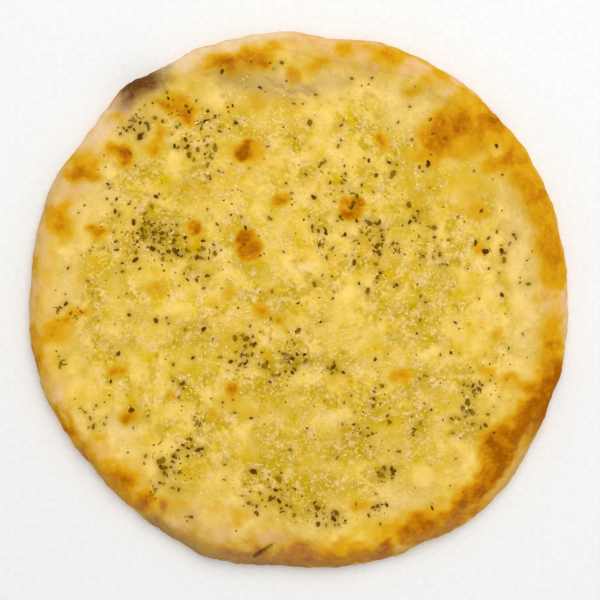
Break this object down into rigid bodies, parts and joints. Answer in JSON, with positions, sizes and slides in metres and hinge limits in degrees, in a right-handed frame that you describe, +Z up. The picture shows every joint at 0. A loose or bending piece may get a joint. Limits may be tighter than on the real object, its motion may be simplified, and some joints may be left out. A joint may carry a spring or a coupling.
{
  "type": "parmesan focaccia",
  "caption": "Round flat focaccia with a puffed, toasted rim, under a skin of melted parmesan strewn with dried oregano.",
  "frame": {"origin": "on the surface that the focaccia lies on, under the middle of its outline", "axes": "+Z up out of the cheese, +Y towards the far side of the picture and +X to its right"},
  "size_m": [0.2992, 0.2976, 0.0202],
  "materials": {
    "baked_dough": "oven-baked wheat dough, pale and floury to toasted brown, matt",
    "melted_cheese": "melted grated hard cheese, pale yellow with toasted blisters, oily sheen, with dark green-brown dried oregano"
  },
  "bodies": {
    "root": {"bread": "baked_dough", "melted_cheese": "melted_cheese"}
  },
  "joints": []
}
